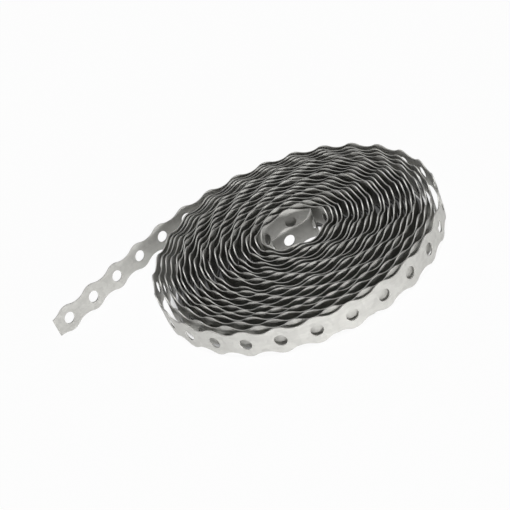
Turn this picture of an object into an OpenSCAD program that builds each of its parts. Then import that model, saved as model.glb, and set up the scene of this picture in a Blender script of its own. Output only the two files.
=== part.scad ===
// Perforated steel strap: one wavy-edged, punched steel band, wound into a loose roll
// that lies flat, with its outer end run out nearly straight.
// Frame: z = 0 is the floor, x and y count from the middle of the whole outline, and the
// loose end runs out along -X.
// Sizes in millimetres.

/* [Strap] */
// full width across the round eyes
strap_width = 17; // [12:0.5:26]
// width at the narrow necks between the eyes
neck_width = 12; // [8:0.5:22]
// sheet thickness
strap_thick = 0.75; // [0.5:0.05:1.5]
// hole to hole along the strap, one wave long
hole_pitch = 20; // [15:0.5:30]
// punched hole diameter
hole_dia = 7; // [4:0.1:9]
// length of the flat part around each hole, the rest of a pitch is the neck
eye_length = 8; // [8:0.5:10]

/* [Roll] */
// diameter of the open middle of the roll
bore_dia = 36.7; // [30:0.1:60]
// one turn to the next, centre to centre
turn_spacing = 3.144; // [2.6:0.001:5]
// how far the open middle sits off the roll's own middle, along x
bore_shift_x = 4.3; // [-5:0.1:5]
// and along y
bore_shift_y = 2.9; // [-5:0.1:5]
// whole turns of the roll
whole_turns = 22; // [4:1:24]
// how far the turn under the last lap lies further in than an even spiral, at either side
loose_lap = 1.6; // [0:0.1:2]
// how much further in the next turn lies, at one side
loose_inner_lap = 1.2; // [0:0.1:1.5]
// how far the turn under the last lap is pressed out against it, at the side between
close_lap = 0.7; // [0:0.1:1.5]
// how unevenly the inner turns are wound
stray = 0.35; // [0:0.05:0.5]

/* [Loose end] */
// where round the roll the outer end leaves it, in degrees
leave_angle = 57.8; // [30:0.1:85]
// radius that the outer end eases out on
leave_radius = 152; // [100:1:300]
// about how much strap runs out quite straight
end_run = 80; // [40:1:200]

/* [Inner end] */
// where round the roll the first turn starts, in degrees
first_angle = 17.5; // [0:0.5:60]
// radius that turns the first turn into the open middle
curl_radius = 6.5; // [6:0.5:14]
// how far that bend turns, in degrees
curl_turn = 127; // [90:1:150]
// about how much strap stands straight across the open middle
inner_run = 24; // [22:0.5:26]

/* [Hidden] */
steel = [0.72, 0.73, 0.74];
cyl_fn = 96;
bore_r = bore_dia / 2;
sweep = 360 * whole_turns + leave_angle - first_angle;
outer_r = bore_r + turn_spacing * sweep / 360;
curl_len = curl_radius * curl_turn * PI / 180;
leave_len = leave_radius * (90 - leave_angle) * PI / 180;
bore_shift = [bore_shift_x, bore_shift_y];
// each eye is round about its hole, and the hollow between two eyes runs smoothly into both
eye_r = strap_width / 2;
hollow_r = (pow(hole_pitch / 2, 2) + pow(neck_width / 2, 2) - eye_r * eye_r) / (strap_width - neck_width);
hollow_mid = neck_width / 2 + hollow_r;
// an eye's rounding is a flat top and one flat shoulder each side, at this slope
shoulder = 19;
// inside this roll radius the bends are too sharp for shoulders, and an eye keeps a flat top
tight_r = 40;
// loose turns: degrees before the strap leaves the roll, half their spread, stand-off
right_at = 75;
left_at = 245;
between_at = 160;
function fade(k, laps) = max(0, 1 - k / laps);
loose = concat(
    [for (k = [1 : 5]) [right_at + 360 * k, 85, -loose_lap * fade(k - 1, 5)]],
    [[left_at + 360, 75, -loose_lap]],
    [for (k = [2 : 7]) [left_at + 360 * k, 75, -(loose_lap + loose_inner_lap) * fade(k - 2, 6)]],
    [[between_at + 360, 60, close_lap]],
    [for (i = [0 : 21]) [1600 + 290 * i, 260, stray * sin(137 * i)]]);
over = 0.5;

// how far a loose lap stands off, and the strap it takes up, so many degrees before leaving
function bulge(left, l) = abs(left - l[0]) > l[1] ? 0 : l[2] * pow(cos(90 * (left - l[0]) / l[1]), 2);
function taken(left, l) = let (d = max(-l[1], min(l[1], left - l[0])))
    l[2] * ((l[1] - d) * PI / 360 - l[1] / 360 * sin(180 * d / l[1]));
function total(v, i = 0) = i < len(v) ? v[i] + total(v, i + 1) : 0;
function slack(left) = total([for (l = loose) bulge(left, l)]);
function extra(left) = total([for (l = loose) taken(left, l)]);
wound_len = (outer_r * outer_r - bore_r * bore_r) * PI / turn_spacing + extra(0);

// along the strap: the curl, the roll, the easing bend and the straight run start here
curl_s = inner_run;
wound_s = curl_s + curl_len;
leave_s = wound_s + wound_len;
run_s = leave_s + leave_len;
pitches = round((run_s + end_run) / hole_pitch);
full_len = pitches * hole_pitch;

// the first turn starts here, and the inner end bends round curl_mid
start_head = first_angle + 90;
curl_mid = bore_shift + (bore_r - curl_radius) * [cos(first_angle), sin(first_angle)];
inner_head = start_head - curl_turn;
leave_mid = (outer_r - leave_radius) * [cos(leave_angle), sin(leave_angle)];

function turn_r(s) = sqrt(bore_r * bore_r + turn_spacing * s / PI);
function turn_a(s) = (turn_r(s) - bore_r) * 360 / turn_spacing;
function arc_at(mid, r, h) = [mid[0] + r * cos(h - 90), mid[1] + r * sin(h - 90), h];

// a place on the strap's middle line, s along it from the inner end: [x, y, heading]
function inner_at(s) = let (c = arc_at(curl_mid, curl_radius, inner_head))
    [c[0] + (s - curl_s) * cos(inner_head), c[1] + (s - curl_s) * sin(inner_head), inner_head];
function curl_at(s) = arc_at(curl_mid, curl_radius, inner_head + (s - curl_s) * 180 / PI / curl_radius);
function wound_at(s) = let (d = s - wound_s, guess = turn_a(d - extra(sweep - turn_a(d))),
                            t = turn_a(d - extra(sweep - guess)), a = first_angle + t,
                            r = bore_r + turn_spacing * t / 360 + slack(sweep - t),
                            c = bore_shift * (1 - t / sweep))
    [c[0] + r * cos(a), c[1] + r * sin(a), a + 90];
function leave_at(s) = arc_at(leave_mid, leave_radius,
                              leave_angle + 90 + (s - leave_s) * 180 / PI / leave_radius);
function run_at(s) = let (c = arc_at(leave_mid, leave_radius, 180)) [c[0] - s + run_s, c[1], 180];
function strap_at(s) =
    s < curl_s ? inner_at(s) :
    s < wound_s ? curl_at(s) :
    s < leave_s ? wound_at(s) :
    s < run_s ? leave_at(s) : run_at(s);
function beside(s, off) = let (p = strap_at(s)) [p[0] - off * sin(p[2]), p[1] + off * cos(p[2])];

// the strap bends where an eye meets a neck, and the neck after the curl also within it
function eye_start(i) = (i + 0.5) * hole_pitch - eye_length / 2;
function eye_end(i) = (i + 0.5) * hole_pitch + eye_length / 2;
neck_length = hole_pitch - eye_length;
tight_eyes = floor((wound_s + (tight_r * tight_r - bore_r * bore_r) * PI / turn_spacing) / hole_pitch);
bends = [for (i = [0 : pitches - 1]) for (s = [eye_start(i), eye_end(i)]) s];
curl_neck = [for (k = [1 : 2]) eye_end(1) + neck_length * k / 3];
stations = concat([0], [for (i = [0 : 3]) bends[i]], curl_neck,
                  [for (i = [4 : len(bends) - 1]) bends[i]], [full_len]);

outside = [for (s = stations) beside(s, -strap_thick / 2)];
inside = [for (i = [len(stations) - 1 : -1 : 0]) beside(stations[i], strap_thick / 2)];
outline_x = [for (p = outside) p[0]];
outline_y = [for (p = outside) p[1]];
middle = [min(outline_x) + max(outline_x), min(outline_y) + max(outline_y)] / 2;

// the sheet as one ribbon on edge
module ribbon() {
    linear_extrude(strap_width) polygon(concat(outside, inside));
}

// puts its children upright on the flat between two stations: x along the strap, y up
module on_flat(from, to, along) {
    p = strap_at(from);
    q = strap_at(to);
    head = atan2(q[1] - p[1], q[0] - p[0]);
    translate([p[0] + along * cos(head), p[1] + along * sin(head), strap_width / 2])
        rotate([0, 0, head]) rotate([90, 0, 0]) children();
}

// height of a shoulder's slope this far along from its hole, and the other way round
function slope_y(x) = (eye_r - x * sin(shoulder)) / cos(shoulder);
function slope_x(y) = (eye_r - y * cos(shoulder)) / sin(shoulder);

// one hollow of the edge above the middle line, as far as before and after its deepest point
module hollow(before, after, wide) {
    top = eye_r + over;
    in = neck_length / 2;
    out = hole_pitch / 2 - slope_x(top);
    intersection() {
        union() {
            translate([0, hollow_mid]) circle(r = hollow_r, $fn = cyl_fn);
            if (wide)
                polygon([[-out, top], [-in, slope_y(eye_length / 2)],
                         [in, slope_y(eye_length / 2)], [out, top]]);
        }
        translate([-before, 0]) square([before + after, top]);
    }
}

// how far a hollow's cut reaches past the sheet's middle: outwards, inwards as far as the next
// flats lean, and both ways at the curl
flat_reach_out = strap_thick / 2 + 0.225;
flat_reach_in = strap_thick / 2 + 1.225;
curl_reach_in = strap_thick / 2 + 2.6;
curl_reach_out = strap_thick / 2 + 1.8;

// both hollows of one neck, reaching this far inside and outside the sheet's middle
module neck_hollows(before, after, wide, reach_in = flat_reach_in, reach_out = flat_reach_out) {
    translate([0, 0, -reach_in]) {
        linear_extrude(reach_in + reach_out) hollow(before, after, wide);
        mirror([0, 1, 0]) linear_extrude(reach_in + reach_out) hollow(before, after, wide);
    }
}

module strap() {
    color(steel) translate([-middle[0], -middle[1], 0]) difference() {
        ribbon();
        for (i = [0 : pitches - 1])
            on_flat(eye_start(i), eye_end(i), eye_length / 2)
                cylinder(d = hole_dia, h = 4 * strap_thick, center = true, $fn = cyl_fn);
        on_flat(eye_end(0), eye_start(1), neck_length / 2)
            neck_hollows(neck_length, neck_length, false, curl_reach_in, flat_reach_out);
        on_flat(eye_end(1), eye_start(2), neck_length / 2)
            neck_hollows(neck_length, neck_length, false, curl_reach_in, curl_reach_out);
        for (i = [3 : pitches - 1])
            on_flat(eye_end(i - 1), eye_start(i), neck_length / 2)
                neck_hollows(neck_length, neck_length, i > tight_eyes);
        on_flat(0, eye_start(0), 0) neck_hollows(over, neck_length, false);
        on_flat(eye_end(pitches - 1), full_len, neck_length / 2)
            neck_hollows(neck_length, over, true);
    }
}

strap();
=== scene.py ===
"""Looks of the perforated steel strap: the punched band itself, its zinc, the floor and the light."""
import math

import bpy
import numpy as np
from mathutils import Matrix, Vector

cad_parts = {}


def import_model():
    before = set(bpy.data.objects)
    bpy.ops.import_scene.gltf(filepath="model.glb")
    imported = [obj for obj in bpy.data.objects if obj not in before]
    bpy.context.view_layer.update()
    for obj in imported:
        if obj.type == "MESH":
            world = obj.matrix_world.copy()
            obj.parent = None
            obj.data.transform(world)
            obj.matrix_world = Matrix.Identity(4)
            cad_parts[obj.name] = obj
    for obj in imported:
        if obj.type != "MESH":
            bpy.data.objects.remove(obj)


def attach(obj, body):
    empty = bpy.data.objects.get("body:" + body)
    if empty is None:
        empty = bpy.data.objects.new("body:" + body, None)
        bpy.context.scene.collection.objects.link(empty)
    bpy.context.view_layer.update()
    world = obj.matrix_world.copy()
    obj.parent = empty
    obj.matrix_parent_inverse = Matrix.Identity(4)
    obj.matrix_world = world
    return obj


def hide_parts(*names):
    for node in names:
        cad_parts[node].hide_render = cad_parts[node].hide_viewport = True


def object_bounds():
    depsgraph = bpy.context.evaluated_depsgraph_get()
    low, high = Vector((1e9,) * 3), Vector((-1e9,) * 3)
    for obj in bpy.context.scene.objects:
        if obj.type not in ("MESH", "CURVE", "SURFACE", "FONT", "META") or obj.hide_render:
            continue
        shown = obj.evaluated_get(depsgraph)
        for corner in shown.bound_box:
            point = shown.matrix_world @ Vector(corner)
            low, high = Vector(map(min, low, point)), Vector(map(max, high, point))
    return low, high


MM = 0.001

# The strap and its roll, in millimetres and degrees: the same values as the part's source.
WIDTH = 17.0
NECK = 12.0
THICK = 0.75
PITCH = 20.0
HOLE_R = 3.5
BORE_R = 18.35
SPACING = 3.144
BORE_SHIFT = np.array((4.3, 2.9))
TURNS = 22
LEAVE_ANGLE = 57.8
LEAVE_R = 152.0
END_RUN = 80.0
FIRST_ANGLE = 17.5
CURL_R = 6.5
CURL_TURN = 127.0
INNER_RUN = 24.0

# The loose laps, also as in the source. AT counts degrees before the strap leaves the roll, HALF is
# half a lap's spread in degrees, and LAPS says over how many laps its stand-off dies away. STEP and
# PHASE, in degrees, part one stray from the next.
LOOSE_LAP = 1.6
LOOSE_INNER_LAP = 1.2
RIGHT_AT = 75
RIGHT_HALF = 85
RIGHT_LAPS = 5
LEFT_AT = 245
LEFT_HALF = 75
LEFT_LAPS = 6
CLOSE_LAP = 0.7
BETWEEN_AT = 160
BETWEEN_HALF = 60
STRAY = 0.35
STRAY_COUNT = 22
STRAY_AT = 1600
STRAY_STEP = 290
STRAY_HALF = 260
STRAY_PHASE = 137

# The inner turns also waver, as on a roll wound by hand, which the source leaves out: millimetres in
# or out, waves in a turn, and where each wave starts in radians.
WAVERS = ((0.45, 0.21, 0.0), (0.30, 0.37, 1.3), (0.20, 2.3, 0.4), (0.14, 4.7, 2.1))
# The turns seen at the outside and round the open middle keep still: degrees from either end of the
# roll, and the degrees over which the waver then fades in.
CALM_OUT = 800.0
CALM_IN = 200.0
CALM_FADE = 250.0
WAVER_STEP = 1.0

# The roll's own middle in the row frame, and what the camera was fitted about from there.
ROLL_MIDDLE = np.array((12.59486, -5.62414))
AIM_OFFSET = np.array((0.52, 1.74))

# Camera and film, fitted to the photograph, in millimetres and degrees.
CAMERA_AWAY = 691.38
CAMERA_TURN = 35.5
CAMERA_ELEVATION = 32.525
CAMERA_ROLL = -22.776
CAMERA_LENS = 84.25
CAMERA_FILM = 36
CAMERA_SHIFT = (-0.0760, -0.0273)
CAMERA_CLIP = 10.0

# The floor's half width in metres, its share of plain white, and its grey under the turns, which is a
# painted shade, and its grey in the open.
FLOOR_REACH = 30.0
FLOOR_GLOW = 0.95
FLOOR_PAINTED_SHADE_AND_OPEN_GREYS = (0.15, 0.9)
# The floor shows white to the camera from here outwards, and inwards of here in the open middle.
WHITE_OUT = (78.0, 84.0)
WHITE_IN = (19.0, 21.0)
# Its colour is a painted shade, dark as far out as here, about a middle that is moved to the near side
# of the roll's own; what the metal sees of the floor there is kept dark too.
PAINTED_SHADE_REACH = (76.8, 78.3)
PAINTED_SHADE_MIDDLE_SHIFT = np.array((-4.65, -6.5))

# The room is dim. Low, far lamps light the faces, each with its degrees round, size in metres and
# watts, and a small high one lights the edges.
ROOM_COLOUR = (0.95, 0.97, 1.0, 1)
ROOM_STRENGTH = 0.02
LOW_AWAY = 4.0
LOW_HEIGHT = 0.30
LOW_LAMPS = (("front", 240.0, (2.2, 0.15), 116.0),
             ("left", 186.0, (2.0, 0.15), 36.0),
             ("right", 302.0, (2.0, 0.15), 14.0))
TOP_PLACE = (0.10, 0.12, 6.0)
TOP_SIZE = (0.20, 0.20)
TOP_POWER = 195.0

# The broken corner of a sheared edge, and how closely the strap's path is worked out.
CORNER = 0.12
PATH_STEP = 0.25
PATH_SPARE = 1.0
# Steps round half a hole and along half a neck: fine in so many of the outer and of the inner turns,
# which are seen from near, and plain between them.
FINE = (16, 6)
PLAIN = (8, 4)
SEEN_OUT = 2.2
SEEN_IN = 1.3
SMOOTH_ANGLE = math.radians(30)
TINY = 1e-6

# A rim's four points run from the front face to the back one.
FRONT = 0
BACK = 3

# The strap's map, in millimetres: rows of so many pitches, each this high. The front face lies at the
# foot of a row, the back one counts down from BACK_MAP, and each rim starts at its place in RIM_MAPS,
# with its corners and wall in these shares. The cut ends lie this far past the strap's length.
MAP_PITCHES = 28
MAP_ROW = 40.0
BACK_MAP = 36.2
RIM_MAPS = {"high": 17.6, "low": 36.6, "under": 37.8, "over": 38.9}
RIM_SHARES = (0.0, 0.2, 0.8, 1.0)
END_MAPS = (2.0, 4.0)

# Dull zinc scatters most of its light, so it is only part metal.
METAL = 0.35
ZINC_DARK = (0.505, 0.50, 0.475)
ZINC_LIGHT = (0.635, 0.63, 0.60)
ZINC_ROUGH = (0.50, 0.60)
ZINC_GRAIN = 0.25
# Its sheared edges are a little brighter and smoother, with a stronger grain.
SHEARED_LIGHT = (0.665, 0.66, 0.63)
SHEARED_ROUGH = (0.45, 0.55)
SHEARED_GRAIN = 0.35
# Its patterns: waves to a millimetre of strap, the tooth's depth in millimetres, the shares of the
# streaks and crystals, and the range over which they take it from dark to light.
STREAK_SCALES = (0.03, 1.1, 1.0)
CLOUD_SCALE = 0.16
CRYSTAL_SCALE = 0.34
TOOTH_SCALE = 2.4
TOOTH_DEPTH = 0.05
STREAK_SHARE = 0.45
CRYSTAL_SHARE = 0.22
PATTERN_RANGE = (0.3, 0.7)


def fade(k, laps):
    """What is left of a stand-off k laps further in."""
    return max(0.0, 1 - k / laps)


def loose_turns():
    """Degrees before the strap leaves the roll, half the spread and the stand-off of each."""
    found = [(RIGHT_AT + 360 * (k + 1), RIGHT_HALF, -LOOSE_LAP * fade(k, RIGHT_LAPS))
             for k in range(RIGHT_LAPS)]
    found.append((LEFT_AT + 360, LEFT_HALF, -LOOSE_LAP))
    both = LOOSE_LAP + LOOSE_INNER_LAP
    found += [(LEFT_AT + 360 * (k + 2), LEFT_HALF, -both * fade(k, LEFT_LAPS))
              for k in range(LEFT_LAPS)]
    found.append((BETWEEN_AT + 360, BETWEEN_HALF, CLOSE_LAP))
    found += [(STRAY_AT + STRAY_STEP * k, STRAY_HALF, STRAY * math.sin(math.radians(STRAY_PHASE * k)))
              for k in range(STRAY_COUNT)]
    return found


def unit(degrees):
    """The direction this many degrees round from +X."""
    a = np.radians(degrees)
    return np.stack((np.cos(a), np.sin(a)), -1)


def bulge(left, lap):
    """How far a loose lap stands off, so many degrees before the strap leaves the roll."""
    off = (left - lap[0]) / lap[1]
    return np.where(np.abs(off) > 1, 0.0, lap[2] * np.cos(np.pi / 2 * off) ** 2)


def taken(left, lap):
    """The strap that a loose lap has taken up by there, counted from the inside."""
    off = np.clip(left - lap[0], -lap[1], lap[1])
    return lap[2] * ((lap[1] - off) * math.pi / 360 - lap[1] / 360 * np.sin(math.pi * off / lap[1]))


def waver(turn):
    """How far each turn strays from the source's winding, so that it takes up no strap in all."""
    share = (np.clip((SWEEP - CALM_OUT - turn) / CALM_FADE, 0, 1)
             * np.clip((turn - CALM_IN) / CALM_FADE, 0, 1))
    waves = sum(far * np.sin(2 * math.pi * often * turn / 360 + start) for far, often, start in WAVERS)
    return share * (waves - np.sum(share * waves) / np.sum(share))


def extra(left):
    """The strap that all the loose laps and the waver have taken up by there."""
    return sum(taken(left, lap) for lap in LOOSE) + np.interp(SWEEP - left, WAVER_AT, WAVER_TAKEN)


def turn_at(along):
    """Degrees round an even spiral, this far along it."""
    return (np.sqrt(np.maximum(BORE_R**2 + SPACING * along / math.pi, 0)) - BORE_R) * 360 / SPACING


LOOSE = loose_turns()
SWEEP = 360 * TURNS + LEAVE_ANGLE - FIRST_ANGLE
WAVER_AT = np.arange(0.0, SWEEP, WAVER_STEP)
WAVER_OFF = waver(WAVER_AT)
WAVER_TAKEN = np.cumsum(WAVER_OFF) * math.radians(WAVER_STEP)

# Along the strap: the curl, the roll, the easing bend and the straight run start here.
OUTER_R = BORE_R + SPACING * SWEEP / 360
CURL_S = INNER_RUN
WOUND_S = CURL_S + CURL_R * math.radians(CURL_TURN)
LEAVE_S = WOUND_S + (OUTER_R**2 - BORE_R**2) * math.pi / SPACING + float(extra(0.0))
RUN_S = LEAVE_S + LEAVE_R * math.radians(90 - LEAVE_ANGLE)
PITCHES = round((RUN_S + END_RUN) / PITCH)
LENGTH = PITCHES * PITCH
INNER_HEAD = FIRST_ANGLE + 90 - CURL_TURN


def middle_line(s):
    """Points of the strap's middle line, each s millimetres along it from the inner end."""
    curl_mid = BORE_SHIFT + (BORE_R - CURL_R) * unit(FIRST_ANGLE)
    leave_mid = (OUTER_R - LEAVE_R) * unit(LEAVE_ANGLE)
    inner = curl_mid + CURL_R * unit(INNER_HEAD - 90) + (s - CURL_S)[:, None] * unit(INNER_HEAD)
    curl = curl_mid + CURL_R * unit(INNER_HEAD - 90 + np.degrees((s - CURL_S) / CURL_R))
    along = s - WOUND_S
    guess = turn_at(along - extra(SWEEP - turn_at(along)))
    turn = turn_at(along - extra(SWEEP - guess))
    slack = sum(bulge(SWEEP - turn, lap) for lap in LOOSE) + np.interp(turn, WAVER_AT, WAVER_OFF)
    radius = BORE_R + SPACING * turn / 360 + slack
    wound = BORE_SHIFT * (1 - turn / SWEEP)[:, None] + radius[:, None] * unit(FIRST_ANGLE + turn)
    leave = leave_mid + LEAVE_R * unit(LEAVE_ANGLE + np.degrees((s - LEAVE_S) / LEAVE_R))
    run = leave_mid + np.stack((RUN_S - s, np.full_like(s, LEAVE_R)), -1)
    parts = (s < CURL_S, s < WOUND_S, s < LEAVE_S, s < RUN_S)
    return np.select([p[:, None] for p in parts], (inner, curl, wound, leave), run)


# The path as a table: the place along the strap, the point there and the way out of the sheet.
TABLE_S = np.arange(-PATH_SPARE, LENGTH + PATH_SPARE, PATH_STEP)
TABLE_P = middle_line(TABLE_S)
TABLE_T = np.gradient(TABLE_P, axis=0)
TABLE_T /= np.linalg.norm(TABLE_T, axis=1)[:, None]
TABLE_N = np.stack((-TABLE_T[:, 1], TABLE_T[:, 0]), -1)
TABLE_P = TABLE_P + ROLL_MIDDLE


def place(flat):
    """Strap coordinates (along, up, out of the middle of the sheet) to metres in the row frame."""
    s = flat[:, 0]
    at = np.stack([np.interp(s, TABLE_S, TABLE_P[:, k]) for k in (0, 1)], -1)
    side = np.stack([np.interp(s, TABLE_S, TABLE_N[:, k]) for k in (0, 1)], -1)
    side /= np.linalg.norm(side, axis=1)[:, None]
    return np.column_stack((at + flat[:, 2:3] * side, flat[:, 1])) * MM


def half_width(u):
    """Half the strap's width, u along it from a hole: a round eye that runs into a round hollow."""
    eye_r = WIDTH / 2
    hollow_r = ((PITCH / 2) ** 2 + (NECK / 2) ** 2 - eye_r**2) / (WIDTH - NECK)
    hollow_mid = NECK / 2 + hollow_r
    meet = (PITCH / 2) * eye_r / (eye_r + hollow_r)
    if abs(u) <= meet:
        return math.sqrt(eye_r**2 - u * u)
    return hollow_mid - math.sqrt(hollow_r**2 - (PITCH / 2 - abs(u)) ** 2)


class Flat:
    """The flat strap as a mesh: points in strap coordinates, faces, their map places and kinds."""

    def __init__(self):
        self.points = []
        self.faces = []
        self.map = []
        self.edge = []

    def point(self, s, z, n):
        """Adds a point and gives its number."""
        self.points.append((s, z, n))
        return len(self.points) - 1

    def face(self, corners, across, edge, along=None):
        """Adds a face, with its corners' places across the map, and along it where not their own."""
        full = PITCH * MAP_PITCHES
        along = along or [self.points[c][0] for c in corners]
        row = min(int(min(along) // full), PITCHES // MAP_PITCHES)
        spots = [((s - row * full) / full, (row * MAP_ROW + q) / full) for s, q in zip(along, across)]
        self.faces.append(corners)
        self.map.extend(spots)
        self.edge.append(edge)


def rim(flat, s, z, inwards):
    """The four points of a sheared rim, front face to back. inwards is the way into the sheet."""
    half = THICK / 2
    ds = CORNER * inwards[0]
    dz = CORNER * inwards[1]
    return [flat.point(s + ds, z + dz, half), flat.point(s, z, half - CORNER),
            flat.point(s, z, CORNER - half), flat.point(s + ds, z + dz, -half)]


def column(flat, centre, u, hole=None):
    """One line of points across the strap: low rim, hole rims or middle points, high rim.

    hole is how far round the upper half of the hole the line cuts it, in radians.
    """
    s = centre + u
    middle = WIDTH / 2
    reach = half_width(u)
    low = rim(flat, s, middle - reach, (0, 1))
    high = rim(flat, s, middle + reach, (0, -1))
    if hole is None:
        front = flat.point(s, middle, THICK / 2)
        back = flat.point(s, middle, -THICK / 2)
        spine = [front, None, None, back]
        return {"low": low, "high": high, "under": spine, "over": spine}
    inwards = (-math.cos(hole), math.sin(hole))
    over = rim(flat, s, middle + HOLE_R * math.sin(hole), inwards)
    if math.sin(hole) < TINY:
        return {"low": low, "high": high, "under": over, "over": over}
    under = rim(flat, s, middle - HOLE_R * math.sin(hole), (inwards[0], -inwards[1]))
    return {"low": low, "high": high, "under": under, "over": over}


def strip(flat, a, b, kind, flip):
    """The three bands of one rim between two columns: corner, wall, corner."""
    places = [RIM_MAPS[kind] + share for share in RIM_SHARES]
    for k in range(FRONT, BACK):
        face = [a[kind][k], b[kind][k], b[kind][k + 1], a[kind][k + 1]]
        across = [places[k], places[k], places[k + 1], places[k + 1]]
        if flip:
            face.reverse()
            across.reverse()
        flat.face(face, across, True)


def panel(flat, a, b, low, high, side):
    """One face of the sheet between two columns, from rim to rim on its front or back."""
    corners = [a[low][side], b[low][side], b[high][side], a[high][side]]
    if side == FRONT:
        corners.reverse()
    heights = [flat.points[c][1] for c in corners]
    across = heights if side == FRONT else [BACK_MAP - h for h in heights]
    flat.face(corners, across, False)


def join(flat, a, b, hole):
    """All the faces between two columns, with the walls of a hole if one lies there."""
    for side in (FRONT, BACK):
        panel(flat, a, b, "low", "under", side)
        panel(flat, a, b, "over", "high", side)
    strip(flat, a, b, "high", False)
    strip(flat, a, b, "low", True)
    if hole:
        strip(flat, a, b, "under", False)
        strip(flat, a, b, "over", True)


def end(flat, c, flip, past):
    """A cut end of the strap, which lies on the map this far past the strap's length."""
    loop = [c["low"][FRONT], c["under"][FRONT], *c["high"], c["under"][BACK], *c["low"][:FRONT:-1]]
    if flip:
        loop.reverse()
    spots = [flat.points[k] for k in loop]
    flat.face(loop, [z for _, z, _ in spots], True, [LENGTH + past + n for _, _, n in spots])


def strap_mesh():
    """The whole strap laid flat, one pitch after the other from the inner end."""
    flat = Flat()
    last = None
    for i in range(PITCHES):
        centre = (i + 0.5) * PITCH
        turns_left = (LEAVE_S - centre) / (2 * math.pi * OUTER_R)
        seen = turns_left < SEEN_OUT or centre < WOUND_S + 2 * math.pi * BORE_R * SEEN_IN
        holes, necks = FINE if seen else PLAIN
        neck_u = np.linspace(PITCH / 2, HOLE_R, necks + 1)[:-1]
        columns = [last or column(flat, centre, -PITCH / 2)]
        columns += [column(flat, centre, -float(u)) for u in neck_u[1:]]
        turns = [math.pi * k / holes for k in range(holes + 1)]
        columns += [column(flat, centre, -HOLE_R * math.cos(t), t) for t in turns]
        columns += [column(flat, centre, float(u)) for u in neck_u[::-1]]
        if last is None:
            end(flat, columns[0], False, END_MAPS[0])
        for k in range(len(columns) - 1):
            join(flat, columns[k], columns[k + 1], necks <= k < necks + holes)
        last = columns[-1]
    end(flat, last, True, END_MAPS[1])
    return flat


def strap_object(flat, materials, cad_box):
    """The flat strap wound along its path, with its face and edge materials."""
    points = np.array(flat.points)
    mesh = bpy.data.meshes.new("strap_band")
    # The part's flat facets cut its bends short, so the round ones are held inside its box.
    inside = np.clip(place(points), *(np.array(corner) for corner in cad_box))
    mesh.from_pydata(inside.tolist(), [], flat.faces)
    along = mesh.attributes.new("along", "FLOAT_VECTOR", "POINT")
    along.data.foreach_set("vector", points.astype(np.float32).ravel())
    layer = mesh.uv_layers.new(name="OFBake")
    layer.uv.foreach_set("vector", np.array(flat.map, np.float32).ravel())
    for m in materials:
        mesh.materials.append(m)
    mesh.polygons.foreach_set("material_index", np.array(flat.edge, np.int32))
    mesh.polygons.foreach_set("use_smooth", np.ones(len(flat.faces), bool))
    mesh.set_sharp_from_angle(angle=SMOOTH_ANGLE)
    mesh.validate()
    mesh.update()
    made = bpy.data.objects.new("strap_band", mesh)
    bpy.context.scene.collection.objects.link(made)
    return made


class Nodes:
    """Short ways to build a material's nodes."""

    def __init__(self, name):
        self.material = bpy.data.materials.new(name)
        self.material.use_nodes = True
        self.tree = self.material.node_tree
        self.tree.nodes.clear()

    def add(self, kind, **values):
        """A new node with its settings, and its inputs named with _ for a space."""
        made = self.tree.nodes.new("ShaderNode" + kind)
        for key, value in values.items():
            if isinstance(getattr(made, key, None), (str, bool, int, float)):
                setattr(made, key, value)
            else:
                made.inputs[key.replace("_", " ")].default_value = value
        return made

    def link(self, a, out, b, into):
        """Joins an output of one node to an input of another."""
        self.tree.links.new(a.outputs[out], b.inputs[into])

    def work_out(self, operation, first, second):
        """One value from two, each a number or a node with its output, given as such a pair."""
        made = self.add("Math", operation=operation)
        for k, value in enumerate((first, second)):
            if isinstance(value, tuple):
                self.link(*value, made, k)
            else:
                made.inputs[k].default_value = value
        return made, "Value"


def steel(name, dark, light, rough, grain):
    """Zinc-coated steel: faint cloudy crystals, drawn streaks along the band and fine tooth."""
    n = Nodes(name)
    low, high = PATTERN_RANGE
    along = n.add("Attribute", attribute_name="along")
    streak_map = n.add("Mapping", Scale=STREAK_SCALES)
    n.link(along, "Vector", streak_map, "Vector")
    streaks = n.add("TexNoise", Scale=1.0, Detail=3.0)
    n.link(streak_map, "Vector", streaks, "Vector")
    clouds = n.add("TexNoise", Scale=CLOUD_SCALE, Detail=4.0)
    n.link(along, "Vector", clouds, "Vector")
    crystals = n.add("TexVoronoi", Scale=CRYSTAL_SCALE)
    n.link(along, "Vector", crystals, "Vector")
    mix = n.add("Mix", data_type="FLOAT", Factor=STREAK_SHARE)
    n.link(clouds, "Fac", mix, "A")
    n.link(streaks, "Fac", mix, "B")
    spread = n.add("Mix", data_type="FLOAT", Factor=CRYSTAL_SHARE)
    n.link(mix, "Result", spread, "A")
    grey = n.add("SeparateColor")
    n.link(crystals, "Color", grey, "Color")
    n.link(grey, "Red", spread, "B")
    ramp = n.add("ValToRGB")
    for stop, position, colour in zip(ramp.color_ramp.elements, PATTERN_RANGE, (dark, light)):
        stop.position = position
        stop.color = (*colour, 1)
    n.link(spread, "Result", ramp, "Fac")
    roughness = n.add("MapRange", From_Min=low, From_Max=high, To_Min=rough[0], To_Max=rough[1])
    n.link(mix, "Result", roughness, "Value")
    tooth = n.add("TexNoise", Scale=TOOTH_SCALE, Detail=2.0)
    n.link(along, "Vector", tooth, "Vector")
    bump = n.add("Bump", Strength=grain, Distance=TOOTH_DEPTH * MM)
    n.link(tooth, "Fac", bump, "Height")
    shader = n.add("BsdfPrincipled", Metallic=METAL)
    n.link(ramp, "Color", shader, "Base Color")
    n.link(roughness, "Result", shader, "Roughness")
    n.link(bump, "Normal", shader, "Normal")
    out = n.add("OutputMaterial")
    n.link(shader, "BSDF", out, "Surface")
    return n.material


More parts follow.
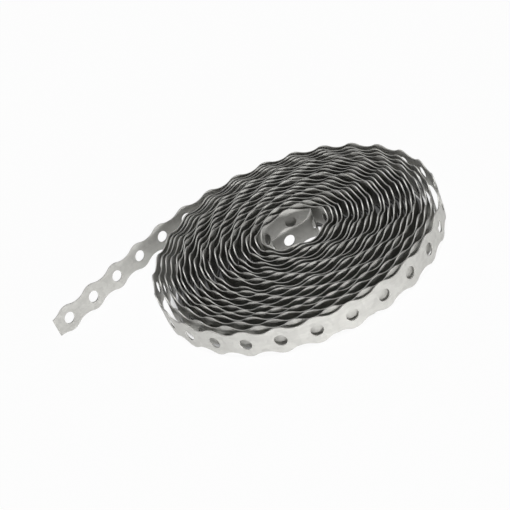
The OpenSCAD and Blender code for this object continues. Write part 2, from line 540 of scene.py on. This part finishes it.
def floor_material():
    """White to the camera and to the metal, with a painted shade under the turns, and the strap's own
    soft shadow.
    """
    n = Nodes("floor_white")
    path = n.add("LightPath")
    where = n.add("NewGeometry")

    def past(middle, circles):
        """0 inside the first of two circles about this middle, 1 outside the second."""
        offset = n.add("VectorMath", operation="DISTANCE")
        offset.inputs[1].default_value = (*(middle * MM), 0)
        n.link(where, "Position", offset, 0)
        ring = n.add("MapRange", interpolation_type="SMOOTHSTEP",
                     From_Min=circles[0] * MM, From_Max=circles[1] * MM)
        n.link(offset, "Value", ring, "Value")
        return ring, "Result"

    bore = n.work_out("SUBTRACT", 1.0, past(ROLL_MIDDLE + BORE_SHIFT, WHITE_IN))
    white_floor = n.work_out("MAXIMUM", past(ROLL_MIDDLE, WHITE_OUT), bore)
    # Under the turns the floor is painted dark: a painted shade, in its colour and in what the metal
    # sees of it.
    outside_painted_shade = n.work_out("MAXIMUM", past(ROLL_MIDDLE + PAINTED_SHADE_MIDDLE_SHIFT, PAINTED_SHADE_REACH), bore)
    direct = n.work_out("MULTIPLY", (path, "Is Camera Ray"), white_floor)
    mirrored = n.work_out("MULTIPLY", (path, "Is Glossy Ray"), outside_painted_shade)
    seen = n.work_out("MAXIMUM", n.work_out("MAXIMUM", direct, mirrored), (path, "Is Transmission Ray"))
    share = n.work_out("MULTIPLY", seen, FLOOR_GLOW)
    # The floor's grey is a painted shade under the turns and its plain grey in the open.
    grey = n.add("MapRange", To_Min=FLOOR_PAINTED_SHADE_AND_OPEN_GREYS[0], To_Max=FLOOR_PAINTED_SHADE_AND_OPEN_GREYS[1])
    n.link(*outside_painted_shade, grey, "Value")
    plain = n.add("BsdfDiffuse")
    n.link(grey, "Result", plain, "Color")
    white = n.add("Emission", Color=(1, 1, 1, 1), Strength=1.0)
    both = n.add("MixShader")
    n.link(*share, both, "Fac")
    n.link(plain, "BSDF", both, 1)
    n.link(white, "Emission", both, 2)
    out = n.add("OutputMaterial")
    n.link(both, "Shader", out, "Surface")
    return n.material


def floor():
    """A wide flat floor that the roll lies on."""
    mesh = bpy.data.meshes.new("floor")
    corners = [(x * FLOOR_REACH, y * FLOOR_REACH, 0) for x, y in ((-1, -1), (1, -1), (1, 1), (-1, 1))]
    mesh.from_pydata(corners, [], [(0, 1, 2, 3)])
    mesh.materials.append(floor_material())
    made = bpy.data.objects.new("floor", mesh)
    bpy.context.scene.collection.objects.link(made)


def world():
    """The dim, plain room round the stage."""
    made = bpy.data.worlds.new("studio")
    made.use_nodes = True
    tree = made.node_tree
    tree.nodes.clear()
    room = tree.nodes.new("ShaderNodeBackground")
    room.inputs["Color"].default_value = ROOM_COLOUR
    room.inputs["Strength"].default_value = ROOM_STRENGTH
    out = tree.nodes.new("ShaderNodeOutputWorld")
    tree.links.new(room.outputs["Background"], out.inputs["Surface"])
    bpy.context.scene.world = made


def lamp(name, place_m, size, power):
    """A flat lamp that faces the roll, in metres and watts."""
    data = bpy.data.lights.new(name, "AREA")
    data.shape = "RECTANGLE"
    data.size, data.size_y = size
    data.energy = power
    made = bpy.data.objects.new(name, data)
    made.location = place_m
    aim = Vector((ROLL_MIDDLE[0] * MM, ROLL_MIDDLE[1] * MM, 0)) - Vector(place_m)
    made.rotation_euler = aim.to_track_quat("-Z", "Y").to_euler()
    bpy.context.scene.collection.objects.link(made)


def camera():
    """The photograph's own view."""
    turn = math.radians(CAMERA_TURN)
    lift = math.radians(CAMERA_ELEVATION)
    roll = math.radians(CAMERA_ROLL)
    back = Vector((-math.cos(lift) * math.sin(turn), -math.cos(lift) * math.cos(turn), math.sin(lift)))
    right = Vector((math.cos(turn), -math.sin(turn), 0))
    up = back.cross(right)
    right_rolled = math.cos(roll) * right + math.sin(roll) * up
    up_rolled = -math.sin(roll) * right + math.cos(roll) * up
    target = Vector((*(ROLL_MIDDLE + AIM_OFFSET), WIDTH / 2)) * MM
    data = bpy.data.cameras.new("photo_view")
    data.sensor_width = CAMERA_FILM
    data.lens = CAMERA_LENS
    data.shift_x, data.shift_y = CAMERA_SHIFT
    data.clip_start = CAMERA_CLIP * MM
    made = bpy.data.objects.new("photo_view", data)
    turned = Matrix((right_rolled, up_rolled, back)).transposed().to_4x4()
    made.matrix_world = Matrix.Translation(target + back * CAMERA_AWAY * MM) @ turned
    bpy.context.scene.collection.objects.link(made)
    bpy.context.scene.camera = made


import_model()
cad_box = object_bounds()
bpy.context.scene.view_settings.view_transform = "Standard"
camera()
world()
floor()
for name, turn, size, power in LOW_LAMPS:
    lamp(name, (*(LOW_AWAY * unit(turn)), LOW_HEIGHT), size, power)
lamp("top", TOP_PLACE, TOP_SIZE, TOP_POWER)

zinc = steel("zinc_face", ZINC_DARK, ZINC_LIGHT, ZINC_ROUGH, ZINC_GRAIN)
sheared = steel("zinc_edge", ZINC_DARK, SHEARED_LIGHT, SHEARED_ROUGH, SHEARED_GRAIN)
band = strap_object(strap_mesh(), (zinc, sheared), cad_box)
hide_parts("strap")
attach(band, "root")
